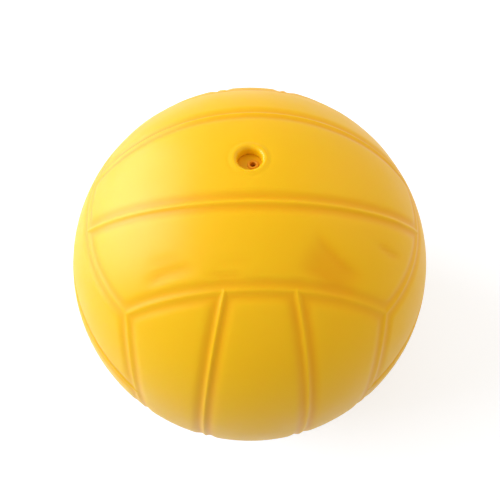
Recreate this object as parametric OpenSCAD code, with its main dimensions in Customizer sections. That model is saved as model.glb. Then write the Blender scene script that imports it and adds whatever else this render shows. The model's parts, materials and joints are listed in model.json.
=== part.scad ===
// Inflatable ball of moulded vinyl, with 18 moulded panels and a needle valve.
// Lengths are in millimetres and angles in degrees. The origin is the ball's centre, +Z runs out
// through the valve, +X is to the right and -Y is the side that the valve is seen from.

/* [Ball] */
// Outside diameter over the panels
ball_d = 152.4; // [130:0.1:220]
// Thickness of the vinyl skin under a panel
skin_wall = 1.9; // [1.5:0.1:4]

/* [Panel pattern] */
// Angle at the ball's centre from a face's middle line to the seams beside it
strip_angle = 14.4; // [11:0.1:18]
// Tilt of the panel pattern about X, because the valve isn't quite in the middle of its panel
pattern_tilt_x = -2.4; // [-5:0.1:5]
// Tilt of the panel pattern about Y
pattern_tilt_y = 2.4; // [-5:0.1:5]
// Turn of the panel pattern about the valve
pattern_turn = 1.1; // [-5:0.1:5]

/* [Seams] */
// Width of a seam from one panel's soft edge to the next
seam_w = 8.6; // [7.6:0.1:10]
// Depth of a seam's floor under the panels
seam_depth = 0.6; // [0.45:0.05:0.8]
// Radius that rolls a panel's edge down into a seam
panel_edge_r = 2.4; // [1.8:0.1:3]
// Radius of the bead along the middle of a seam round a face
bead_r = 1.3; // [1.1:0.05:1.4]
// Radius of the bead along a seam between two strips of a face
strip_bead_r = 1.22; // [1.1:0.02:1.4]
// Depth of a bead's centre under the panels
bead_centre_depth = 1.5; // [1.45:0.05:1.6]

/* [Valve well] */
// Bore of the well that the valve lies in
well_d = 8.2; // [7:0.1:10]
// Depth of the well from its mouth to the valve housing
well_depth = 3.65; // [3:0.05:6]
// Radius of the well's rolled rim
rim_r = 1.4; // [1:0.1:2]
// Radius that rounds the well's wall off where it meets the housing
lip_edge_r = 0.6; // [0.4:0.05:1]

/* [Valve neck] */
// Wall of the neck that grips the valve housing
neck_wall = 1.8; // [1.2:0.1:3]
// Length of the housing that the neck grips
neck_grip = 8; // [6:0.1:14]

/* [Valve housing] */
// Diameter of the housing
housing_d = 11.4; // [10.8:0.1:14]
// Length of the housing past the neck's inner end
housing_tail = 2; // [1:0.1:4]
// Thickness of the housing's outer end, which is the well's floor
housing_face = 1.6; // [1.2:0.1:2.2]
// Thickness of the housing's inner end
housing_end = 1.4; // [1:0.1:2]
// Height of the locking rib round the housing
rib_height = 0.8; // [0.4:0.1:1.4]
// Width of the locking rib
rib_w = 2; // [1.4:0.1:3]
// Diameter of the air hole in the housing's inner end
air_hole_d = 2.6; // [1.6:0.1:4]

/* [Valve core] */
// Diameter of the core's body
core_d = 6.4; // [5:0.1:7.4]
// Diameter of the core's nose, which shows in the well
nose_d = 3.8; // [3.2:0.1:4.4]
// Height of the nose above the well's floor
nose_height = 0.4; // [0.3:0.05:0.8]
// Diameter of the needle hole
needle_d = 1.9; // [1.6:0.05:2.2]
// Depth of the open needle hole under the nose's face, down to the closed slit
needle_depth = 4.2; // [3:0.1:6]
// Sideways place of the core in the housing
core_offset = 1.05; // [0:0.05:1.2]

/* [Hidden] */
$fn = 96;

// Clearance all round between pieces that are pushed together
push_fit = 0.02;
// Overrun of a cut past the surface that it opens
overrun = 0.2;
// Radius that rounds the nose's edge
nose_edge_r = 0.25;
// Width of the lead-in round the needle hole
needle_lead = 0.25;
// Chamfer on the inner ends of the neck, the housing and the core
end_chamfer = 0.6;
// Size of the ball that joins three beads at a corner, against a bead's own
joint_share = 1.14;

ball_r = ball_d / 2;
floor_r = ball_r - seam_depth;
inside_r = ball_r - skin_wall;
well_r = well_d / 2;
housing_r = housing_d / 2;
core_r = core_d / 2;
nose_r = nose_d / 2;
needle_r = needle_d / 2;

// A face's rim lies where the ball's three axes are equally far away
face_angle = acos(1 / sqrt(3));
// Half the length, as an angle, of the great circle between a face's rims
strip_half_angle = acos(cos(face_angle) / cos(strip_angle));
// Each face has its rim at two of its sides, a quarter turn long
rim_half_angle = 45;

// Heights along the valve's axis
mouth_z = sqrt(ball_r * ball_r - (well_r + rim_r) * (well_r + rim_r));
housing_top_z = mouth_z - well_depth;
housing_base_z = housing_top_z - neck_grip - housing_tail;
neck_base_z = housing_top_z - neck_grip;
pocket_top_z = housing_top_z - housing_face;
pocket_base_z = housing_base_z + housing_end;
nose_top_z = housing_top_z + nose_height;
rib_z = housing_top_z - neck_grip / 2;
rib_r = housing_r + rib_height;
neck_r = rib_r + neck_wall;

// The cut that sinks one seam, drawn across it with the ball's surface at height 0
module seam_section() {
    difference() {
        translate([-seam_w / 2, -seam_depth - overrun])
            square([seam_w, seam_depth + 2 * overrun]);
        for (side = [-1, 1])
            translate([side * seam_w / 2, -panel_edge_r]) circle(r = panel_edge_r);
    }
}

// A bead across its length, cut off under the seam's floor
module bead_section(radius) {
    intersection() {
        translate([0, -bead_centre_depth]) circle(r = radius);
        translate([-radius, -seam_depth - overrun]) square([2 * radius, seam_depth + overrun]);
    }
}

// Carries a section along a circle of the ball, at an angle from the circle's axis
module along_circle(axis_angle, start_angle, sweep_angle) {
    rotate([0, 0, start_angle]) rotate_extrude(angle = sweep_angle)
        rotate(-axis_angle) translate([0, ball_r]) children();
}

// Repeats one face's lines on all six faces, each face turned against its neighbours
module on_each_face() {
    rotate([pattern_tilt_x, pattern_tilt_y, pattern_turn])
        for (pair = [0:2], side = [0, 1])
            rotate(a = -120 * pair, v = [1, 1, 1]) rotate([180 * side, 0, 0]) children();
}

// The two curved ends of one face
module face_rims() {
    for (half_turn = [0, 180])
        along_circle(face_angle, half_turn - rim_half_angle, 2 * rim_half_angle) children();
}

// The two lines that part one face into three strips
module strip_lines() {
    for (side = [-1, 1])
        rotate([90 + side * strip_angle, 0, 0])
            along_circle(90, 90 - strip_half_angle, 2 * strip_half_angle) children();
}

// The beads of all seams, with a small ball where three of them meet
module beads() {
    on_each_face() {
        face_rims() bead_section(bead_r);
        strip_lines() bead_section(strip_bead_r);
    }
    rotate([pattern_tilt_x, pattern_tilt_y, pattern_turn])
        for (x = [-1, 1], y = [-1, 1], z = [-1, 1])
            translate([x, y, z] * (ball_r - bead_centre_depth - overrun) / sqrt(3))
                sphere(r = bead_r * joint_share);
}

// The ball's outer form: panels, grooves and beads
module relief() {
    difference() {
        sphere(r = ball_r, $fn = 180);
        on_each_face() {
            face_rims() seam_section();
            strip_lines() seam_section();
        }
    }
    sphere(r = floor_r, $fn = 180);
    beads();
}

// The well's opening, with its rolled rim and its rounded lower edge
module well_mouth() {
    rotate_extrude() {
        translate([0, housing_top_z]) square([well_r, well_depth + overrun]);
        difference() {
            translate([0, mouth_z - rim_r]) square([well_r + rim_r, rim_r + overrun]);
            translate([well_r + rim_r, mouth_z - rim_r]) circle(r = rim_r);
        }
        difference() {
            translate([0, housing_top_z]) square([well_r + lip_edge_r, lip_edge_r]);
            translate([well_r + lip_edge_r, housing_top_z + lip_edge_r]) circle(r = lip_edge_r);
        }
    }
}

// A round post whose lower end is chamfered
module post(low_z, high_z, radius) {
    translate([0, 0, low_z])
        cylinder(h = end_chamfer, r1 = radius - end_chamfer, r2 = radius);
    translate([0, 0, low_z + end_chamfer])
        cylinder(h = high_z - low_z - end_chamfer, r = radius);
}

// The housing's outer form, larger all round by a gap
module housing_form(gap) {
    post(housing_base_z - gap, housing_top_z + gap, housing_r + gap);
    translate([0, 0, rib_z - rib_w / 2 - gap]) cylinder(h = rib_w + 2 * gap, r = rib_r + gap);
}

// The core's body under the housing's outer end, larger all round by a gap
module core_body(gap) {
    translate([core_offset, 0, 0]) post(pocket_base_z - gap, pocket_top_z + gap, core_r + gap);
}

// The core's nose with its rounded edge
module core_nose() {
    translate([core_offset, 0, 0])
        rotate_extrude() {
            translate([0, pocket_top_z - overrun])
                square([nose_r, nose_top_z - nose_edge_r - pocket_top_z + overrun]);
            translate([0, nose_top_z - 2 * nose_edge_r])
                square([nose_r - nose_edge_r, 2 * nose_edge_r]);
            translate([nose_r - nose_edge_r, nose_top_z - nose_edge_r]) circle(r = nose_edge_r);
        }
}

// The needle hole with its lead-in
module needle_hole() {
    translate([core_offset, 0, nose_top_z - needle_depth])
        cylinder(h = needle_depth + overrun, r = needle_r);
    translate([core_offset, 0, nose_top_z - needle_lead])
        cylinder(h = needle_lead + overrun, r1 = needle_r, r2 = needle_r + needle_lead + overrun);
}

module ball_skin() {
    color("gold")
        difference() {
            union() {
                difference() {
                    relief();
                    sphere(r = inside_r, $fn = 180);
                }
                post(neck_base_z, inside_r + overrun, neck_r);
            }
            well_mouth();
            housing_form(push_fit);
        }
}

module valve_housing() {
    color("goldenrod")
        difference() {
            housing_form(0);
            core_body(push_fit);
            translate([core_offset, 0, pocket_top_z])
                cylinder(h = housing_face + overrun, r = nose_r + push_fit);
            translate([core_offset, 0, housing_base_z - overrun])
                cylinder(h = housing_end + 2 * overrun, d = air_hole_d);
        }
}

module valve_core() {
    color("peru")
        difference() {
            union() {
                core_body(0);
                core_nose();
            }
            needle_hole();
        }
}

ball_skin();
valve_housing();
valve_core();
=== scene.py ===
"""A 6 in water polo ball of moulded vinyl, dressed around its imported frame.

The skin's solid is replaced by a finer mesh of the same form, whose panels, grooves and beads roll
softly into each other as moulded vinyl does. The valve housing and the valve core keep their own
solids, and get their finishes here.
"""

import json
import logging
import math
from dataclasses import dataclass, field
from enum import IntEnum
from typing import Any

import bpy
import numpy as np
from mathutils import Matrix, Vector
from mathutils.geometry import delaunay_2d_cdt


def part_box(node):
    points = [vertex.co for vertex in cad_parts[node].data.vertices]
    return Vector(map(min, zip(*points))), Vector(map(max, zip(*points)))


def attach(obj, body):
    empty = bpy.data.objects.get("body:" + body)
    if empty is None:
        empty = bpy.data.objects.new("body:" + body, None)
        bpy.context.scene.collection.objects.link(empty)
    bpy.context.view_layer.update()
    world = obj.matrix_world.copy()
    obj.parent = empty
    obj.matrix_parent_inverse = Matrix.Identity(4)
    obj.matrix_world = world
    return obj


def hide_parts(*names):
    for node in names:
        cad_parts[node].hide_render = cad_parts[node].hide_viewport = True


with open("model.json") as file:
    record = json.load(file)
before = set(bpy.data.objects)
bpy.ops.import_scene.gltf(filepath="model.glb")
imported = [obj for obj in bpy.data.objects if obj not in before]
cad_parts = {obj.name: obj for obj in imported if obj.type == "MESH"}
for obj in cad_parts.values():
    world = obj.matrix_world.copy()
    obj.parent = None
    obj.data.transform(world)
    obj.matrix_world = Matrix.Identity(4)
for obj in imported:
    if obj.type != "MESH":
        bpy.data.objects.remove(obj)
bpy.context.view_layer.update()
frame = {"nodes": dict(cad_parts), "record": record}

MM = 0.001
# Mode of the flat triangulation that keeps only what lies inside the given sides
FILL_INSIDE = 1
# Distance under which the triangulation takes two points for one
SAME_POINT_MM = 1e-6
LOG = logging.getLogger("water_polo_ball")


def linear_from_hex(code: str) -> tuple[float, float, float, float]:
    """Turn an sRGB hex colour into linear light.

    Args:
        code: The colour as "#RRGGBB".

    Returns:
        Red, green and blue in linear light, with an alpha of 1.
    """
    channels = [int(code[place:place + 2], 16) / 255 for place in (1, 3, 5)]
    linear = [c / 12.92 if c <= 0.04045 else ((c + 0.055) / 1.055) ** 2.4 for c in channels]
    return (*linear, 1.0)


class MixSocket(IntEnum):
    """Places of the sockets of a Mix node that mixes colours, where names repeat."""

    SHARE = 0
    FIRST = 6
    SECOND = 7
    RESULT = 2


def add_node(
    tree: bpy.types.NodeTree,
    kind: str,
    settings: dict[str, Any] | None = None,
    values: dict[str | int, Any] | None = None,
    links: dict[str | int, bpy.types.NodeSocket] | None = None,
) -> bpy.types.Node:
    """Add a node to a tree, with its settings, its socket values and its incoming links.

    Args:
        tree: The tree that gets the node.
        kind: The node's type name.
        settings: Values of the node's own properties.
        values: Values of its input sockets, by name or by place.
        links: Output sockets that feed its input sockets, by name or by place.

    Returns:
        The new node.
    """
    node = tree.nodes.new(kind)
    for name, value in (settings or {}).items():
        setattr(node, name, value)
    for name, value in (values or {}).items():
        node.inputs[name].default_value = value
    for name, source in (links or {}).items():
        tree.links.new(source, node.inputs[name])
    return node


@dataclass(frozen=True)
class Mottle:
    """A noise pattern of a finish, by the real size of its features."""

    size_mm: float
    detail: float
    roughness: float

    def values(self) -> dict[str, float]:
        """Return the values of a noise node's sockets."""
        scale = 1 / (self.size_mm * MM)
        return {"Scale": scale, "Detail": self.detail, "Roughness": self.roughness}


@dataclass(frozen=True)
class RotomouldedVinyl:
    """Soft PVC, rotationally moulded in a polished mould.

    It gives a saturated yellow that glows a little through its wall, under a broad satin gloss. The
    mould leaves a faint orange peel and slow waves, handling leaves dull patches, and the well's
    rim is the shiniest place. Grooves and creases get painted shade: a deeper orange by their depth.
    """

    name: str = "rotomoulded_vinyl"
    colour: str = "#F0BC0B"
    pale_colour: str = "#F2C013"
    groove_painted_shade_colour: str = "#EBAB05"
    roughness: float = 0.4
    roughness_spread: float = 0.05
    rim_polish: float = 0.22
    ior: float = 1.53
    gloss_level: float = 0.15
    glow_weight: float = 0.5
    glow_reach_mm: float = 0.6
    glow_reach_by_colour: tuple[float, float, float] = (1.0, 0.6, 0.15)
    clouds: Mottle = Mottle(size_mm=42.0, detail=3.0, roughness=0.55)
    smudges: Mottle = Mottle(size_mm=16.0, detail=5.0, roughness=0.6)
    smudge_range: tuple[float, float] = (0.3, 0.7)
    peel: Mottle = Mottle(size_mm=2.4, detail=2.0, roughness=0.5)
    peel_height_mm: float = 0.012
    waves: Mottle = Mottle(size_mm=26.0, detail=1.0, roughness=0.4)
    wave_height_mm: float = 0.05

    def material(self) -> bpy.types.Material:
        """Build the material.

        Returns:
            The new material.
        """
        material = bpy.data.materials.new(self.name)
        material.use_nodes = True
        tree = material.node_tree
        tree.nodes.clear()
        place = add_node(tree, "ShaderNodeTexCoord")
        clouds = add_node(
            tree, "ShaderNodeTexNoise",
            values=self.clouds.values(),
            links={"Vector": place.outputs["Object"]},
        )
        cloudy = add_node(
            tree, "ShaderNodeMix",
            settings={"data_type": "RGBA"},
            values={
                MixSocket.FIRST: linear_from_hex(self.colour),
                MixSocket.SECOND: linear_from_hex(self.pale_colour),
            },
            links={MixSocket.SHARE: clouds.outputs["Fac"]},
        )
        # Painted shade: seams and creases are painted a deeper orange by how deep they lie
        depth = add_node(tree, "ShaderNodeAttribute", settings={"attribute_name": "seam_depth"})
        groove_shaded = add_node(
            tree, "ShaderNodeMix",
            settings={"data_type": "RGBA"},
            values={MixSocket.SECOND: linear_from_hex(self.groove_painted_shade_colour)},
            links={
                MixSocket.SHARE: depth.outputs["Fac"],
                MixSocket.FIRST: cloudy.outputs[MixSocket.RESULT],
            },
        )
        smudges = add_node(
            tree, "ShaderNodeTexNoise",
            values=self.smudges.values(),
            links={"Vector": place.outputs["Object"]},
        )
        dullness = add_node(
            tree, "ShaderNodeMapRange",
            values={
                "From Min": self.smudge_range[0],
                "From Max": self.smudge_range[1],
                "To Min": self.roughness - self.roughness_spread,
                "To Max": self.roughness + self.roughness_spread,
            },
            links={"Value": smudges.outputs["Fac"]},
        )
        polished = add_node(tree, "ShaderNodeAttribute", settings={"attribute_name": "polished"})
        worn = add_node(
            tree, "ShaderNodeMath",
            settings={"operation": "MULTIPLY_ADD", "use_clamp": True},
            values={1: -self.rim_polish},
            links={0: polished.outputs["Fac"], 2: dullness.outputs["Result"]},
        )
        peel = add_node(
            tree, "ShaderNodeTexNoise",
            values=self.peel.values(),
            links={"Vector": place.outputs["Object"]},
        )
        waves = add_node(
            tree, "ShaderNodeTexNoise",
            values=self.waves.values(),
            links={"Vector": place.outputs["Object"]},
        )
        slow = add_node(
            tree, "ShaderNodeBump",
            values={"Strength": 1.0, "Distance": self.wave_height_mm * MM},
            links={"Height": waves.outputs["Fac"]},
        )
        fine = add_node(
            tree, "ShaderNodeBump",
            values={"Strength": 1.0, "Distance": self.peel_height_mm * MM},
            links={"Height": peel.outputs["Fac"], "Normal": slow.outputs["Normal"]},
        )
        surface = add_node(
            tree, "ShaderNodeBsdfPrincipled",
            values={
                "IOR": self.ior,
                "Specular IOR Level": self.gloss_level,
                "Subsurface Weight": self.glow_weight,
                "Subsurface Radius": self.glow_reach_by_colour,
                "Subsurface Scale": self.glow_reach_mm * MM,
            },
            links={
                "Base Color": groove_shaded.outputs[MixSocket.RESULT],
                "Roughness": worn.outputs["Value"],
                "Normal": fine.outputs["Normal"],
            },
        )
        add_node(tree, "ShaderNodeOutputMaterial", links={"Surface": surface.outputs["BSDF"]})
        return material


@dataclass(frozen=True)
class SoftMoulding:
    """Soft rubber or vinyl of a valve piece, injection moulded.

    It gives a dull, even colour with a fine grain, darker and redder than the skin round it. This is
    painted shade of the well, and in the core partly also the rubber's own tone.
    """

    name: str
    colour: str
    grain_colour: str
    roughness: float = 0.5
    ior: float = 1.52
    gloss_level: float = 0.2
    grain: Mottle = Mottle(size_mm=0.5, detail=4.0, roughness=0.6)
    grain_height_mm: float = 0.01
    grain_strength: float = 0.6

    def material(self) -> bpy.types.Material:
        """Build the material.

        Returns:
            The new material.
        """
        material = bpy.data.materials.new(self.name)
        material.use_nodes = True
        tree = material.node_tree
        tree.nodes.clear()
        place = add_node(tree, "ShaderNodeTexCoord")
        grain = add_node(
            tree, "ShaderNodeTexNoise",
            values=self.grain.values(),
            links={"Vector": place.outputs["Object"]},
        )
        tint = add_node(
            tree, "ShaderNodeMix",
            settings={"data_type": "RGBA"},
            values={
                MixSocket.FIRST: linear_from_hex(self.colour),
                MixSocket.SECOND: linear_from_hex(self.grain_colour),
            },
            links={MixSocket.SHARE: grain.outputs["Fac"]},
        )
        bump = add_node(
            tree, "ShaderNodeBump",
            values={"Strength": self.grain_strength, "Distance": self.grain_height_mm * MM},
            links={"Height": grain.outputs["Fac"]},
        )
        surface = add_node(
            tree, "ShaderNodeBsdfPrincipled",
            values={
                "Roughness": self.roughness,
                "IOR": self.ior,
                "Specular IOR Level": self.gloss_level,
            },
            links={
                "Base Color": tint.outputs[MixSocket.RESULT],
                "Normal": bump.outputs["Normal"],
            },
        )
        add_node(tree, "ShaderNodeOutputMaterial", links={"Surface": surface.outputs["BSDF"]})
        return material


def smooth_max(first: np.ndarray, second: np.ndarray, blend: float) -> np.ndarray:
    """Return the higher of two height fields, rounded where they cross.

    Args:
        first: One height at each point.
        second: The other height at each point.
        blend: Difference of height under which the two melt together.

    Returns:
        The joined heights.
    """
    overlap = np.maximum(blend - np.abs(first - second), 0.0)
    return np.maximum(first, second) + overlap * overlap / (4 * blend)


def turn_about(axis: tuple[float, float, float], angle: float) -> np.ndarray:
    """Make the matrix that turns about an axis through the origin.

    Args:
        axis: The axis, of any length.
        angle: The turn in radians.

    Returns:
        The three by three matrix.
    """
    x, y, z = np.array(axis) / np.linalg.norm(axis)
    cross = np.array([[0, -z, y], [z, 0, -x], [-y, x, 0]])
    return np.eye(3) + math.sin(angle) * cross + (1 - math.cos(angle)) * cross @ cross


class FaceAxis(IntEnum):
    """Columns of a face's turn: the way its strips run, and the way out of the ball."""

    ALONG = 0
    OUT = 2


@dataclass(frozen=True)
class SeamSection:
    """The section of a moulded seam: two soft grooves with a bead between them, in millimetres."""

    width: float = 10.4
    rim_depth: float = 0.40
    strip_depth: float = 0.52
    edge_radius: float = 8.0
    floor_blend: float = 0.22
    rim_bead_height: float = 0.31
    rim_bead_width: float = 1.1
    strip_bead_height: float = 0.54
    strip_bead_width: float = 0.88
    corner_blend: float = 0.55
    depth_change: float = 1.5

    def channel(self, distance: np.ndarray, depth: np.ndarray) -> np.ndarray:
        """Return the channel's height at a distance from the seam's middle.

        Args:
            distance: Distance from the nearest seam's middle line, in millimetres.
            depth: Depth of the channel's floor there.

        Returns:
            The height against the panels, zero or less.
        """
        inward = np.clip(self.width / 2 - distance, 0.0, self.edge_radius)
        wall = np.sqrt(self.edge_radius ** 2 - inward ** 2) - self.edge_radius
        rolled = smooth_max(wall, -depth, self.floor_blend)
        return np.where(inward > 0, np.minimum(rolled, 0.0), 0.0)

    @staticmethod
    def bead(distance: np.ndarray, height: float, width: float) -> np.ndarray:
        """Return how far a bead stands over the channel's floor.

        Args:
            distance: Distance from the bead's middle line, in millimetres.
            height: The bead's height in its middle.
            width: Distance at which the bead has fallen to about a third.

        Returns:
            The height over the floor, which runs out softly on both sides.
        """
        return height * np.exp(-(distance / width) ** 2)

    def relief(self, rim: np.ndarray, strip: np.ndarray, near: np.ndarray) -> np.ndarray:
        """Return the moulded height at points of the ball.

        Args:
            rim: Distance from the nearest rim of a face, in millimetres.
            strip: Distance from the nearest seam between two strips.
            near: Distance from all seams together, rounded at their meetings.

        Returns:
            The height against the panels.
        """
        beads = smooth_max(
            self.bead(rim, self.rim_bead_height, self.rim_bead_width),
            self.bead(strip, self.strip_bead_height, self.strip_bead_width),
            self.rim_bead_height / 3,
        )
        strip_share = 1 / (1 + np.exp((strip - rim) / self.depth_change))
        depth = self.rim_depth + (self.strip_depth - self.rim_depth) * strip_share
        return self.channel(near, depth) + beads


@dataclass(frozen=True)
class Arc:
    """An arc of a circle on the unit ball, by its axis, its angle from that axis and its span."""

    axis: np.ndarray
    middle: np.ndarray
    angle: float
    half_span: float

    def distance(self, points: np.ndarray) -> np.ndarray:
        """Return the angle at the ball's centre between points and the arc.

        Args:
            points: Unit vectors, one to a row.

        Returns:
            The angle in radians for each point.
        """
        side = np.cross(self.axis, self.middle)
        height = np.clip(points @ self.axis, -1.0, 1.0)
        turn = np.abs(np.arctan2(points @ side, points @ self.middle))
        across = np.abs(np.arccos(height) - self.angle)
        ends = [
            math.cos(self.angle) * self.axis + math.sin(self.angle)
            * (math.cos(self.half_span) * self.middle + way * math.sin(self.half_span) * side)
            for way in (-1, 1)
        ]
        to_ends = [np.arccos(np.clip(points @ end, -1.0, 1.0)) for end in ends]
        return np.where(turn <= self.half_span, across, np.minimum(*to_ends))


@dataclass(frozen=True)
class PanelPattern:
    """Six faces of three strips each, whose strips run into the side of the next face.

    Each face has its own frame: X along its strips, Y across them and Z out of the ball. The tilt
    about X and Y and the turn about Z, in degrees, set the whole pattern against the valve.
    """

    strip_angle: float = math.radians(14.4)
    tilt: tuple[float, float, float] = (-2.4, 2.4, 1.1)
    rim_angle: float = math.acos(1 / math.sqrt(3))
    rim_half_span: float = math.pi / 4

    def face_turns(self) -> list[np.ndarray]:
        """Lay out the faces.

        Returns:
            The turns that carry each face's frame into the ball's.
        """
        tilt_x, tilt_y, turn = (math.radians(angle) for angle in self.tilt)
        about_y_and_z = turn_about((0, 0, 1), turn) @ turn_about((0, 1, 0), tilt_y)
        tilted = about_y_and_z @ turn_about((1, 0, 0), tilt_x)
        turns = []
        for pair in range(3):
            for side in range(2):
                to_pair = turn_about((1, 1, 1), -pair * 2 * math.pi / 3)
                to_side = turn_about((1, 0, 0), side * math.pi)
                turns.append(tilted @ to_pair @ to_side)
        return turns

    def rims(self) -> list[Arc]:
        """Lay out the curved ends of the faces.

        Returns:
            Two arcs for each face.
        """
        arcs = []
        for turn in self.face_turns():
            for way in (-1, 1):
                arcs.append(Arc(
                    axis=turn[:, FaceAxis.OUT],
                    middle=way * turn[:, FaceAxis.ALONG],
                    angle=self.rim_angle,
                    half_span=self.rim_half_span,
                ))
        return arcs

    def strip_seams(self) -> list[Arc]:
        """Lay out the seams between the strips.

        Returns:
            Two arcs for each face.
        """
        half_span = math.acos(math.cos(self.rim_angle) / math.cos(self.strip_angle))
        sine, cosine = math.sin(self.strip_angle), math.cos(self.strip_angle)
        arcs = []
        for turn in self.face_turns():
            for way in (-1, 1):
                middle = np.array([0.0, way * sine, cosine])
                axis = np.array([0.0, cosine, -way * sine])
                arcs.append(Arc(
                    axis=turn @ axis,
                    middle=turn @ middle,
                    angle=math.pi / 2,
                    half_span=half_span,
                ))
        return arcs


@dataclass(frozen=True)
class Crease:
    """One shallow crease in the skin, in millimetres and degrees.

    Its place is a direction from the ball's centre. A crease with no lean runs level, along the
    strips that the valve lies among, and a positive lean lifts its right end.
    """

    place: tuple[float, float, float]
    lean: float
    length: float
    width: float
    depth: float
    bend: float = 0.0

    def height(self, directions: np.ndarray, ball_radius: float) -> np.ndarray:
        """Return how far the crease sinks the skin.

        Args:
            directions: Unit vectors from the ball's centre, one to a row.
            ball_radius: The ball's radius.

        Returns:
            Heights at each point, zero or less.
        """
        middle = np.array(self.place) / np.linalg.norm(self.place)
        level = np.cross((0.0, 1.0, 0.0), middle)
        level /= np.linalg.norm(level)
        upward = np.cross(middle, level)
        lean = math.radians(self.lean)
        run = math.cos(lean) * level + math.sin(lean) * upward
        along = directions @ run * ball_radius
        across = directions @ np.cross(middle, run) * ball_radius - self.bend * along ** 2
        shape = np.exp(-(across / self.width) ** 2 - (2 * along / self.length) ** 4)
        return -self.depth * shape * (directions @ middle > 0)


@dataclass(frozen=True)
class FoldCreases:
    """Shallow creases, left where the skin lay folded before it was pumped up.

    The front has its own few creases. The other sides get creases of the same kind, drawn at
    random in patches. A patch is a direction from the ball's centre and a spread, as a share of
    the ball's radius. Lengths are in millimetres, and the lean is in degrees.
    """

    front: tuple[Crease, ...] = (
        Crease((-0.34, -0.46, 0.82), lean=8.0, length=17.0, width=2.2, depth=0.42, bend=-0.014),
        Crease((-0.36, -0.41, 0.84), lean=4.0, length=13.0, width=1.6, depth=0.16, bend=-0.01),
        Crease((-0.10, -0.49, 0.87), lean=-3.0, length=11.0, width=1.0, depth=0.32),
        Crease((-0.06, -0.44, 0.89), lean=2.0, length=12.0, width=1.4, depth=0.16, bend=-0.008),
        Crease((0.34, -0.46, 0.82), lean=-28.0, length=20.0, width=5.0, depth=0.6, bend=0.01),
        Crease((0.37, -0.41, 0.84), lean=-30.0, length=19.0, width=1.6, depth=0.5, bend=0.012),
        Crease((0.28, -0.47, 0.84), lean=-14.0, length=12.0, width=1.5, depth=0.2),
        Crease((0.62, -0.31, 0.72), lean=-5.0, length=12.0, width=1.3, depth=0.55, bend=0.02),
    )
    patches: tuple[tuple[tuple[float, float, float], float], ...] = (
        ((-0.80, 0.50, -0.30), 0.16),
        ((0.30, 0.85, 0.10), 0.14),
        ((0.10, -0.50, -0.85), 0.16),
        ((0.85, 0.20, -0.40), 0.14),
    )
    per_patch: int = 8
    length: float = 15.0
    width: float = 1.5
    depth: float = 0.35
    spread_share: float = 0.45
    lean: float = 12.0
    bend: float = 0.006
    seed: int = 11

    def drawn(self) -> list[Crease]:
        """Draw the creases of the patches.

        Returns:
            The creases, the same ones each time.
        """
        draw = np.random.default_rng(self.seed)
        creases = []
        for direction, spread in self.patches:
            for _ in range(self.per_patch):
                place = np.array(direction) + draw.normal(0.0, spread, 3)
                length, depth = 1 + self.spread_share * draw.uniform(-1.0, 1.0, 2)
                creases.append(Crease(
                    place=tuple(place),
                    lean=draw.normal(0.0, self.lean),
                    length=self.length * length,
                    width=self.width,
                    depth=self.depth * depth,
                    bend=draw.normal(0.0, self.bend),
                ))
        return creases

    def heights(self, directions: np.ndarray, ball_radius: float) -> np.ndarray:
        """Return how far all creases together sink the skin.

        Args:
            directions: Unit vectors from the ball's centre, one to a row.
            ball_radius: The ball's radius.

        Returns:
            Heights at each point, zero or less.
        """
        total = np.zeros(len(directions))
        for crease in (*self.front, *self.drawn()):
            total += crease.height(directions, ball_radius)
        return total


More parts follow.
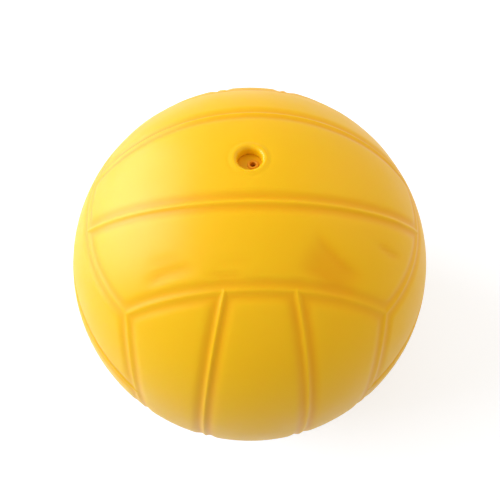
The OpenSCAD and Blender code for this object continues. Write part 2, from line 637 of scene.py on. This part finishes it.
@dataclass(frozen=True)
class FaceGrid:
    """A grid of unit points over one face, dense along its beads and wide on its panels.

    The band is the strip on each side of a seam, in millimetres, in which the lines lie close.
    """

    pattern: PanelPattern
    ball_radius: float
    band: float = 5.8
    band_steps: int = 10
    band_easing: float = 1.6
    middle_steps: int = 13
    side_steps: int = 16

    def lines(self) -> list[tuple[float, float]]:
        """Choose the planes that cut the grid's lengthwise lines, from the middle to one side.

        Returns:
            Pairs of a lean angle and a distance from the centre, for planes along the strips.
        """
        reach = self.band / self.ball_radius
        lean = self.pattern.strip_angle
        rim = self.pattern.rim_angle
        inner = (lean, -math.sin(reach))
        outer = (lean, math.sin(reach))
        near_side = (0.0, math.cos(rim + reach))
        planes = []
        for step in range(self.middle_steps):
            share = step / self.middle_steps
            planes.append((inner[0] * share, inner[1] * share))
        for step in range(2 * self.band_steps):
            share = step / self.band_steps - 1
            offset = math.copysign(abs(share) ** self.band_easing, share) * reach
            planes.append((lean, math.sin(offset)))
        for step in range(self.side_steps):
            share = step / self.side_steps
            planes.append((
                outer[0] + (near_side[0] - outer[0]) * share,
                outer[1] + (near_side[1] - outer[1]) * share,
            ))
        for step in range(self.band_steps + 1):
            offset = reach * (1 - step / self.band_steps) ** self.band_easing
            planes.append((0.0, math.cos(rim + offset)))
        return planes

    def points(self) -> np.ndarray:
        """Lay out the grid.

        Returns:
            Unit points in the face's frame, as rows by columns by three.
        """
        half = self.lines()
        planes = [(-lean, -offset) for lean, offset in reversed(half[1:])] + half
        rim_height = math.cos(self.pattern.rim_angle)
        ends = []
        # Each plane cuts the ball in a circle, and the reach is the turn at which it meets a rim
        for lean, offset in planes:
            radius = math.sqrt(1 - offset ** 2)
            reach = math.acos((rim_height + offset * math.sin(lean)) / (radius * math.cos(lean)))
            ends.append((lean, offset, radius, reach))
        side_radius = math.sin(self.pattern.rim_angle)
        # Both ways across the face share the same marks, so that neighbouring faces meet
        along_side = [
            offset * math.cos(lean) + radius * math.cos(reach) * math.sin(lean)
            for lean, offset, radius, reach in ends
        ]
        marks = np.array([math.asin(place / side_radius) for place in along_side])
        from_rim = (self.pattern.rim_half_span - np.abs(marks)) * side_radius
        side_length = self.pattern.rim_half_span * side_radius
        band = from_rim[self.band_steps]
        rows = []
        for lean, offset, radius, reach in ends:
            # Points near a rim keep their distance from it, and the others spread between them
            length = reach * radius
            stretched = band + (length - band) * (from_rim - band) / (side_length - band)
            travel = np.where(from_rim <= band, from_rim, stretched)
            turn = np.sign(marks) * (reach - travel / radius)
            plane = np.array([0.0, math.cos(lean), -math.sin(lean)])
            rise = np.array([0.0, math.sin(lean), math.cos(lean)])
            along = np.array([1.0, 0.0, 0.0])
            rows.append(
                offset * plane
                + radius * (np.sin(turn)[:, None] * along + np.cos(turn)[:, None] * rise)
            )
        return np.array(rows)


@dataclass
class MeshBuilder:
    """Gathers points and faces, and turns them into one mesh object."""

    points: list[np.ndarray] = field(default_factory=list)
    faces: list[tuple[int, ...]] = field(default_factory=list)
    count: int = 0

    def add_points(self, points: np.ndarray) -> np.ndarray:
        """Add points to the mesh.

        Args:
            points: The points in millimetres, one to a row.

        Returns:
            Their numbers.
        """
        numbers = np.arange(self.count, self.count + len(points))
        self.points.append(points)
        self.count += len(points)
        return numbers

    def add_ring_band(self, outer: np.ndarray, inner: np.ndarray) -> None:
        """Join two rings of equal count with four-sided faces.

        Args:
            outer: Point numbers of one ring.
            inner: Point numbers of the next ring, in the same order.
        """
        after = np.roll(np.arange(len(outer)), -1)
        for place, following in enumerate(after):
            self.faces.append((outer[place], outer[following], inner[following], inner[place]))

    def all_points(self) -> np.ndarray:
        """Return every point so far, one to a row."""
        return np.concatenate(self.points)

    def build(self, name: str) -> bpy.types.Object:
        """Make the mesh object, smooth shaded and in metres.

        Args:
            name: The object's name.

        Returns:
            The linked object.
        """
        mesh = bpy.data.meshes.new(name)
        mesh.from_pydata((self.all_points() * MM).tolist(), [], self.faces)
        mesh.validate()
        mesh.polygons.foreach_set("use_smooth", [True] * len(mesh.polygons))
        mesh.update()
        piece = bpy.data.objects.new(name, mesh)
        bpy.context.scene.collection.objects.link(piece)
        return piece


def merge_points(
    points: np.ndarray, faces: np.ndarray, within: float
) -> tuple[np.ndarray, np.ndarray]:
    """Merge points that lie in the same place.

    Args:
        points: All points, one to a row.
        faces: Point numbers of each face.
        within: Size of the cells in which points count as one.

    Returns:
        The points that are left, and the faces with the new numbers.
    """
    cells = np.round(points / within).astype(np.int64)
    _, first, numbers = np.unique(cells, axis=0, return_index=True, return_inverse=True)
    return points[first], numbers.reshape(-1)[faces]


@dataclass
class ValveWell:
    """The well that the needle valve lies in, with its rolled rim, in millimetres.

    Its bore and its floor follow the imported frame. Round its rim the skin swells to a low lip, and
    round the lip lies a shallow moat. Inside the patch, the ball's grid gives way to rings.
    """

    bore_radius: float
    floor_height: float
    rim_radius: float = 1.4
    lip_edge_radius: float = 0.6
    lip_height: float = 0.12
    moat_radius: float = 6.9
    moat_depth: float = 0.1
    moat_width: float = 0.9
    moat_onset: float = 3.0
    patch_radius: float = 9.4
    first_ring_radius: float = 8.5
    ring_count: int = 128
    swell_steps: int = 16
    rim_steps: int = 14
    wall_shares: tuple[float, ...] = (0.3, 0.6, 0.85, 1.0)
    edge_steps: int = 6
    neck_wall: float = 1.8
    housing_radius: float = 5.7
    rib_height: float = 0.8
    rib_width: float = 2.0
    grip: float = 8.0
    chamfer: float = 0.6
    fit: float = 0.02

    def mouth_height(self, ball_radius: float) -> float:
        """Return the height at which the rim's crown meets the ball."""
        return math.sqrt(ball_radius ** 2 - (self.bore_radius + self.rim_radius) ** 2)

    def outside(self, ball_radius: float) -> list[tuple[float, float]]:
        """Draw the profile from the ball's surface over the rim and down to the well's floor.

        Args:
            ball_radius: The ball's radius over its panels.

        Returns:
            Pairs of radius and height.
        """
        crown_radius = self.bore_radius + self.rim_radius
        profile = []
        for step in range(self.swell_steps):
            rise = step / self.swell_steps
            radius = self.first_ring_radius + (crown_radius - self.first_ring_radius) * rise
            eased = rise * rise * (3 - 2 * rise)
            from_moat = (radius - self.moat_radius) / self.moat_width
            moat = self.moat_depth * math.exp(-from_moat ** 2) * min(1.0, self.moat_onset * rise)
            height = math.sqrt(ball_radius ** 2 - radius ** 2)
            profile.append((radius, height + self.lip_height * eased ** 2 - moat))
        centre = self.mouth_height(ball_radius) + self.lip_height - self.rim_radius
        for step in range(self.rim_steps + 1):
            turn = math.pi / 2 * step / self.rim_steps
            profile.append((
                crown_radius - self.rim_radius * math.sin(turn),
                centre + self.rim_radius * math.cos(turn),
            ))
        edge = self.lip_edge_radius
        drop = centre - edge - self.floor_height
        for share in self.wall_shares:
            profile.append((self.bore_radius, centre - drop * share))
        for step in range(1, self.edge_steps + 1):
            turn = math.pi / 2 * step / self.edge_steps
            profile.append((
                self.bore_radius + edge * (1 - math.cos(turn)),
                self.floor_height + edge * (1 - math.sin(turn)),
            ))
        return profile

    def neck(self) -> list[tuple[float, float]]:
        """Draw the profile of the neck that grips the housing, from the floor to its outer wall.

        Returns:
            Pairs of radius and height.
        """
        hold = self.housing_radius + self.fit
        rib = hold + self.rib_height
        outer = self.housing_radius + self.rib_height + self.neck_wall
        middle = self.floor_height - self.grip / 2
        half_rib = self.rib_width / 2 + self.fit
        base = self.floor_height - self.grip
        return [
            (hold - self.lip_edge_radius, self.floor_height + self.fit),
            (hold, self.floor_height + self.fit),
            (hold, middle + half_rib),
            (rib, middle + half_rib),
            (rib, middle - half_rib),
            (hold, middle - half_rib),
            (hold, base),
            (outer - self.chamfer, base),
            (outer, base + self.chamfer),
        ]


@dataclass
class BallSkin:
    """The one-piece vinyl skin: panels, grooves, beads, the well and the neck inside it.

    Lengths are in millimetres. The crease share says how much of the seams' painted shade, a deeper
    orange, a crease gets by its depth.
    """

    ball_radius: float
    well: ValveWell
    wall: float = 1.9
    seam: SeamSection = SeamSection()
    pattern: PanelPattern = PanelPattern()
    creases: FoldCreases = FoldCreases()
    finish: RotomouldedVinyl = RotomouldedVinyl()
    crease_painted_shade_share: float = 0.75
    merge_cell: float = 0.0005
    inner_rings: int = 36
    fillet_width: float = 0.8
    fillet_rise: float = 1.0
    fillet_corner: float = 0.25

    def moulded_at(self, directions: np.ndarray) -> np.ndarray:
        """Work out the moulded relief in given directions from the ball's centre.

        Args:
            directions: Unit vectors, one to a row.

        Returns:
            Heights against the panels, in millimetres.
        """
        rims, strips = (
            np.array([arc.distance(directions) for arc in arcs]) * self.ball_radius
            for arcs in (self.pattern.rims(), self.pattern.strip_seams())
        )
        every = np.concatenate([rims, strips])
        nearest = every.min(axis=0)
        blend = self.seam.corner_blend
        near = nearest - blend * np.log(np.exp(-(every - nearest) / blend).sum(axis=0))
        return self.seam.relief(rims.min(axis=0), strips.min(axis=0), near)

    def outer_grid(self) -> tuple[np.ndarray, np.ndarray]:
        """Lay the grid over all faces of the pattern.

        Returns:
            The unit points and the four-sided faces of the whole outer surface.
        """
        grid = FaceGrid(self.pattern, self.ball_radius).points()
        rows, columns = grid.shape[:2]
        numbers = np.arange(rows * columns).reshape(rows, columns)
        quads = np.stack(
            [numbers[:-1, :-1], numbers[:-1, 1:], numbers[1:, 1:], numbers[1:, :-1]], axis=-1
        ).reshape(-1, 4)
        flat = grid.reshape(-1, 3)
        turns = self.pattern.face_turns()
        points = np.concatenate([flat @ turn.T for turn in turns])
        faces = np.concatenate([quads + place * len(flat) for place in range(len(turns))])
        return merge_points(points, faces, self.merge_cell / self.ball_radius)

    def build_mesh(self) -> bpy.types.Object:
        """Build the skin as one closed mesh.

        Returns:
            The skin's object.
        """
        builder = MeshBuilder()
        directions, quads = self.outer_grid()
        moulded = self.moulded_at(directions)
        creased = self.creases.heights(directions, self.ball_radius)
        surface = directions * (self.ball_radius + moulded + creased)[:, None]
        used, kept = self.leave_out_patch(surface, quads)
        builder.add_points(surface[used])
        builder.faces.extend(map(tuple, kept.tolist()))
        edge = self.open_edge(kept)
        profile = self.well.outside(self.ball_radius) + self.well.neck() + self.inside_profile()
        rings = [self.add_ring(builder, radius, height) for radius, height in profile]
        self.stitch(builder, edge, rings[0])
        for outer, inner in zip(rings, rings[1:]):
            builder.add_ring_band(outer, inner)
        pole = builder.add_points(np.array([[0.0, 0.0, -(self.ball_radius - self.wall)]]))[0]
        last = rings[-1]
        for place in range(len(last)):
            builder.faces.append((last[place], last[(place + 1) % len(last)], pole))
        piece = builder.build("ball_skin_moulded")
        # The depths of the seams and creases set their painted shade
        self.mark_surface(piece, (moulded + self.crease_painted_shade_share * creased)[used])
        return piece

    def dress(self, skin: bpy.types.Object) -> None:
        """Give the skin its finish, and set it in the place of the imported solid.

        Args:
            skin: The skin's object.
        """
        skin.data.materials.append(self.finish.material())
        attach(skin, "root")
        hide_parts("ball_skin")

    def leave_out_patch(
        self, surface: np.ndarray, quads: np.ndarray
    ) -> tuple[np.ndarray, np.ndarray]:
        """Leave out the part of the outer surface that the well takes.

        Args:
            surface: All points of the outer surface.
            quads: All its faces.

        Returns:
            Numbers of the points that are still used, and the faces that are kept, which count
            among those points.
        """
        distance = np.hypot(surface[:, 0], surface[:, 1])
        inside_patch = (distance < self.well.patch_radius) & (surface[:, 2] > 0)
        kept = quads[~inside_patch[quads].any(axis=1)]
        used = np.unique(kept)
        renumber = np.full(len(surface), -1)
        renumber[used] = np.arange(len(used))
        return used, renumber[kept]

    def inside_profile(self) -> list[tuple[float, float]]:
        """Draw the profile of the inner surface, from the neck's outer wall to the far side.

        Returns:
            Pairs of radius and height.
        """
        radius = self.ball_radius - self.wall
        outer = self.well.housing_radius + self.well.rib_height + self.well.neck_wall
        fillet_end = outer + self.fillet_width
        start = math.asin(fillet_end / radius)
        shoulder = math.sqrt(radius ** 2 - fillet_end ** 2)
        profile = [
            (outer, shoulder - self.fillet_rise),
            (outer + self.fillet_corner, shoulder - self.fillet_corner),
        ]
        for step in range(self.inner_rings):
            angle = start + (math.pi - start) * step / self.inner_rings
            profile.append((radius * math.sin(angle), radius * math.cos(angle)))
        return profile

    def add_ring(self, builder: MeshBuilder, radius: float, height: float) -> np.ndarray:
        """Add one ring of points round the valve's axis.

        Args:
            builder: The mesh that gets the points.
            radius: The ring's radius.
            height: Its height along the valve's axis.

        Returns:
            The points' numbers, anticlockwise seen from outside.
        """
        turns = np.arange(self.well.ring_count) * 2 * math.pi / self.well.ring_count
        ring = np.stack(
            [radius * np.cos(turns), radius * np.sin(turns), np.full_like(turns, height)], axis=1
        )
        return builder.add_points(ring)

    @staticmethod
    def open_edge(quads: np.ndarray) -> np.ndarray:
        """Follow the open edge left round the well, point after point.

        Args:
            quads: The faces that are kept.

        Returns:
            Point numbers, anticlockwise seen from outside.
        """
        sides = np.concatenate([quads[:, [corner, (corner + 1) % 4]] for corner in range(4)])
        _, first, counts = np.unique(
            np.sort(sides, axis=1), axis=0, return_index=True, return_counts=True
        )
        before = {int(there): int(here) for here, there in sides[first[counts == 1]]}
        loop = [next(iter(before))]
        while before[loop[-1]] != loop[0]:
            loop.append(before[loop[-1]])
        return np.array(loop)

    @staticmethod
    def stitch(builder: MeshBuilder, edge: np.ndarray, ring: np.ndarray) -> None:
        """Close the gap between the open edge and the first ring with triangles.

        Seen along the valve's axis both loops lie flat, so they are filled there. The triangles
        that lie inside the ring are left out.

        Args:
            builder: The mesh that gets the triangles.
            edge: Point numbers of the open edge.
            ring: Point numbers of the ring inside it.
        """
        numbers = np.concatenate([edge, ring])
        flat = [Vector(point[:2]) for point in builder.all_points()[numbers]]
        sides = []
        for first, count in ((0, len(edge)), (len(edge), len(ring))):
            sides += [(first + place, first + (place + 1) % count) for place in range(count)]
        triangles = delaunay_2d_cdt(flat, sides, [], FILL_INSIDE, SAME_POINT_MM)[2]
        for corners in triangles:
            if min(corners) < len(edge):
                builder.faces.append(tuple(numbers[list(corners)]))

    def mark_surface(self, piece: bpy.types.Object, heights: np.ndarray) -> None:
        """Store for the finish how deep in the seams and creases each point lies, which sets the
        painted shade there, and how polished each point is.

        Args:
            piece: The skin's object.
            heights: Heights of its first points, which are those of the outer surface.
        """
        mesh = piece.data
        places = np.zeros(len(mesh.vertices) * 3)
        mesh.vertices.foreach_get("co", places)
        places = places.reshape(-1, 3) / MM
        depth = np.zeros(len(places))
        depth[:len(heights)] = np.clip(-heights / self.seam.strip_depth, 0.0, 1.0)
        self.store(mesh, "seam_depth", depth)
        from_axis = np.hypot(places[:, 0], places[:, 1])
        rim_middle = self.well.bore_radius + self.well.rim_radius / 2
        from_rim = (from_axis - rim_middle) / self.well.rim_radius
        self.store(mesh, "polished", np.exp(-from_rim ** 2) * (places[:, 2] > 0))

    @staticmethod
    def store(mesh: bpy.types.Mesh, name: str, values: np.ndarray) -> None:
        """Store one value at each point of a mesh under a name."""
        attribute = mesh.attributes.new(name, "FLOAT", "POINT")
        attribute.data.foreach_set("value", values.astype(np.float32))


@dataclass(frozen=True)
class NeedleValve:
    """The housing and the core of the needle valve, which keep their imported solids."""

    # Painted shade: the housing is darker and more orange than the skin for the well's shade; the
    # core's redder colour is partly its rubber's tone, partly painted shade
    housing_finish: SoftMoulding = SoftMoulding("soft_valve_vinyl", "#EEB408", "#EAAA04")
    core_finish: SoftMoulding = SoftMoulding("self_sealing_rubber", "#E89A10", "#DE8C08")

    def floor_height(self) -> float:
        """Return the height of the housing's outer face, in millimetres."""
        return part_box("valve_housing")[1].z / MM

    def dress(self) -> None:
        """Give both pieces their finishes."""
        finishes = {"valve_housing": self.housing_finish, "valve_core": self.core_finish}
        for node, finish in finishes.items():
            piece = frame["nodes"][node]
            piece.data.materials.clear()
            piece.data.materials.append(finish.material())
            LOG.info("%s: dressed", node)


def background_rays(tree: bpy.types.NodeTree) -> bpy.types.NodeSocket:
    """Tell the rays that show a background from those that light the ball with it.

    Args:
        tree: The tree of the floor's material or of the world.

    Returns:
        An output that is 1 for rays from the camera, off a gloss or through a clear surface.
    """
    ray = add_node(tree, "ShaderNodeLightPath")
    shown = ray.outputs["Is Camera Ray"]
    for kind in ("Is Glossy Ray", "Is Transmission Ray"):
        either = add_node(
            tree, "ShaderNodeMath",
            settings={"operation": "MAXIMUM"},
            links={0: shown, 1: ray.outputs[kind]},
        )
        shown = either.outputs[0]
    return shown


@dataclass(frozen=True)
class StudioPaper:
    """Matt white background paper.

    Seen directly or in a gloss it looks white, with the ball's shadow on it. The soft light that
    it throws back is only that of a grey paper, and seen from below it is clear.
    """

    name: str = "studio_paper"
    colour: str = "#D2D8E2"
    bounce_colour: str = "#A8A8A8"
    lift_colour: str = "#FFFFFF"
    lift: float = 0.48

    def material(self) -> bpy.types.Material:
        """Build the material.

        Returns:
            The new material.
        """
        material = bpy.data.materials.new(self.name)
        material.use_nodes = True
        tree = material.node_tree
        tree.nodes.clear()
        bounced = add_node(
            tree, "ShaderNodeBsdfDiffuse", values={"Color": linear_from_hex(self.bounce_colour)}
        )
        paper = add_node(
            tree, "ShaderNodeBsdfDiffuse", values={"Color": linear_from_hex(self.colour)}
        )
        lift = add_node(
            tree, "ShaderNodeEmission",
            values={"Color": linear_from_hex(self.lift_colour), "Strength": self.lift},
        )
        lifted = add_node(
            tree, "ShaderNodeAddShader", links={0: paper.outputs[0], 1: lift.outputs[0]}
        )
        either = add_node(
            tree, "ShaderNodeMixShader",
            links={0: background_rays(tree), 1: bounced.outputs[0], 2: lifted.outputs[0]},
        )
        side = add_node(tree, "ShaderNodeNewGeometry")
        clear = add_node(tree, "ShaderNodeBsdfTransparent")
        one_sided = add_node(
            tree, "ShaderNodeMixShader",
            links={0: side.outputs["Backfacing"], 1: either.outputs[0], 2: clear.outputs[0]},
        )
        add_node(tree, "ShaderNodeOutputMaterial", links={"Surface": one_sided.outputs[0]})
        return material


@dataclass(frozen=True)
class Lamp:
    """A soft studio lamp, placed by where it stands as the camera sees it, in metres.

    A lamp that is only in the gloss gives the skin a highlight and no other light.
    """

    name: str
    right: float
    up: float
    toward: float
    width: float
    height: float
    power: float
    colour: str = "#FFFFFF"
    only_in_gloss: bool = False


@dataclass
class Studio:
    """The plain floor, the soft lamps and the camera at the photograph's angle, in metres."""

    ball_radius: float
    view_lean: float = math.radians(26.5)
    camera_distance_share: float = 3.0
    outline_radius_px: float = 176.5
    outline_centre_px: tuple[float, float] = (249.7, 262.6)
    image_px: float = 500.0
    sensor_mm: float = 36.0
    floor_size: float = 6.0
    floor_gap: float = 0.0002
    near_clip: float = 0.01
    room_light: float = 0.66
    room_colour: str = "#FFF8EC"
    backdrop_colour: str = "#FFFFFF"
    backdrop_light: float = 1.0
    paper: StudioPaper = StudioPaper()
    lamps: tuple[Lamp, ...] = (
        Lamp(
            "left_softbox", right=-0.95, up=0.33, toward=0.5,
            width=0.9, height=0.9, power=13.5, colour="#E9F1FF",
        ),
        Lamp(
            "right_softbox", right=0.9, up=0.6, toward=0.4,
            width=0.9, height=0.9, power=3.0, colour="#FFE6C8",
        ),
        Lamp(
            "left_reflector", right=-1.0, up=0.42, toward=0.05,
            width=1.3, height=1.3, power=28.0, only_in_gloss=True,
        ),
    )

    def axes(self) -> tuple[Vector, Vector, Vector]:
        """Work out how the camera is turned.

        Returns:
            Its right, up and backward directions in the ball's frame.
        """
        toward = Vector((0.0, -math.sin(self.view_lean), math.cos(self.view_lean)))
        right = Vector((1.0, 0.0, 0.0))
        return right, toward.cross(right), toward

    def place_camera(self) -> None:
        """Set the camera where the photograph was taken from."""
        right, up, toward = self.axes()
        distance = self.camera_distance_share * self.ball_radius
        focal_px = self.outline_radius_px * math.sqrt(self.camera_distance_share ** 2 - 1)
        data = bpy.data.cameras.new("camera")
        data.sensor_width = self.sensor_mm
        data.lens = focal_px / self.image_px * self.sensor_mm
        data.clip_start = self.near_clip
        camera = bpy.data.objects.new("camera", data)
        bpy.context.scene.collection.objects.link(camera)
        centre = self.image_px / 2
        aside = math.atan2(self.outline_centre_px[0] - centre, focal_px)
        below = math.atan2(self.outline_centre_px[1] - centre, focal_px)
        level = Matrix((right, up, toward)).transposed()
        aim = Matrix.Rotation(aside, 3, "Y") @ Matrix.Rotation(below, 3, "X")
        camera.matrix_world = Matrix.Translation(toward * distance) @ (level @ aim).to_4x4()
        bpy.context.scene.camera = camera

    def place_lamp(self, lamp: Lamp) -> None:
        """Add one area lamp that points at the ball.

        Args:
            lamp: Where the lamp stands and how strong it is.
        """
        right, up, toward = self.axes()
        data = bpy.data.lights.new(lamp.name, "AREA")
        data.shape = "RECTANGLE"
        data.size = lamp.width
        data.size_y = lamp.height
        data.energy = lamp.power
        data.color = linear_from_hex(lamp.colour)[:3]
        light = bpy.data.objects.new(lamp.name, data)
        light.visible_diffuse = not lamp.only_in_gloss
        bpy.context.scene.collection.objects.link(light)
        light.location = right * lamp.right + up * lamp.up + toward * lamp.toward
        light.rotation_euler = light.location.to_track_quat("Z", "Y").to_euler()

    def lay_floor(self) -> None:
        """Lay the floor that the ball stands on."""
        half = self.floor_size / 2
        mesh = bpy.data.meshes.new("floor")
        corners = [(-half, -half, 0.0), (half, -half, 0.0), (half, half, 0.0), (-half, half, 0.0)]
        mesh.from_pydata(corners, [], [(0, 1, 2, 3)])
        floor = bpy.data.objects.new("floor", mesh)
        bpy.context.scene.collection.objects.link(floor)
        floor.location.z = -self.ball_radius - self.floor_gap
        floor.data.materials.append(self.paper.material())

    def light_world(self) -> None:
        """Give the room its even soft light, and a white backdrop past the floor."""
        world = bpy.data.worlds.new("studio")
        world.use_nodes = True
        tree = world.node_tree
        tree.nodes.clear()
        room = add_node(
            tree, "ShaderNodeBackground",
            values={"Color": linear_from_hex(self.room_colour), "Strength": self.room_light},
        )
        backdrop = add_node(
            tree, "ShaderNodeBackground",
            values={
                "Color": linear_from_hex(self.backdrop_colour),
                "Strength": self.backdrop_light,
            },
        )
        either = add_node(
            tree, "ShaderNodeMixShader",
            links={0: background_rays(tree), 1: room.outputs[0], 2: backdrop.outputs[0]},
        )
        add_node(tree, "ShaderNodeOutputWorld", links={"Surface": either.outputs[0]})
        bpy.context.scene.world = world

    def build(self) -> None:
        """Build the whole studio."""
        self.light_world()
        self.lay_floor()
        for lamp in self.lamps:
            self.place_lamp(lamp)
        self.place_camera()


def show_plain_colours() -> None:
    """Show colours as they are written."""
    bpy.context.scene.view_settings.view_transform = "Standard"


def mount(name: str) -> dict[str, Any]:
    """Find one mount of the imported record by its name."""
    return next(entry for entry in frame["record"]["mounts"] if entry["name"] == name)


def main() -> None:
    """Build the ball and its studio, and log each piece."""
    logging.basicConfig(level=logging.INFO, format="%(name)s: %(message)s")
    show_plain_colours()
    ball_radius = -mount("resting_point")["pos_m"][2] / MM
    valve = NeedleValve()
    well = ValveWell(
        bore_radius=mount("valve_well")["dims"]["r_mm"],
        floor_height=valve.floor_height(),
    )
    ball_skin = BallSkin(ball_radius=ball_radius, well=well)
    skin = ball_skin.build_mesh()
    ball_skin.dress(skin)
    LOG.info("%s: %d points", skin.name, len(skin.data.vertices))
    valve.dress()
    Studio(ball_radius=ball_radius * MM).build()
    LOG.info("studio built")


if __name__ == "__main__":
    main()
